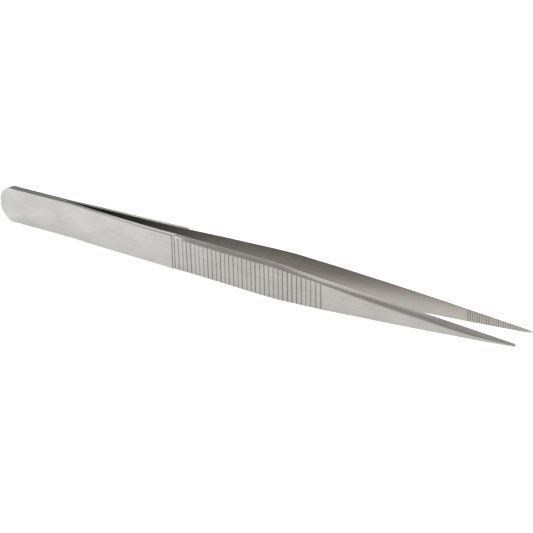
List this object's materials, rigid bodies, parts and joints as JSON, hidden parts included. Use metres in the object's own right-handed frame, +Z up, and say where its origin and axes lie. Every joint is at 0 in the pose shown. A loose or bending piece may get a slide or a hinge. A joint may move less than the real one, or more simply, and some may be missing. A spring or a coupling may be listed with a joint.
{
  "type": "precision tweezers",
  "caption": "Straight fine-point spring tweezers with a ribbed finger grip on each arm and fine teeth inside the jaw; the arms are joined at the tail.",
  "frame": {"origin": "on the surface that the tweezers lie on, halfway along them and midway between the arms", "axes": "+X along the tweezers from the tail to the tips, +Y from the near arm to the far arm, the direction in which they open, +Z up across the width of the arms"},
  "size_m": [0.1614, 0.011, 0.0102],
  "materials": {
    "satin_steel": "satin, finely ground along the arm",
    "weld_steel": "ground flush"
  },
  "bodies": {
    "tail": {"near_arm_root": "satin_steel", "far_arm_root": "satin_steel", "tail_weld": "weld_steel"},
    "near_arm": {"near_arm_blade": "satin_steel"},
    "far_arm": {"far_arm_blade": "satin_steel"}
  },
  "joints": [
    {"name": "near_arm_flex", "type": "hinge", "parent": "tail", "child": "near_arm", "pos_m": [-0.04365, -0.00146, 0.00511], "axis": [0, 0, 1], "range_deg": [0, 1.75], "stiffness_Nm_per_rad": 4},
    {"name": "far_arm_flex", "type": "hinge", "parent": "tail", "child": "far_arm", "pos_m": [-0.04365, 0.00146, 0.00511], "axis": [0, 0, -1], "range_deg": [0, 1.75], "stiffness_Nm_per_rad": 4}
  ]
}
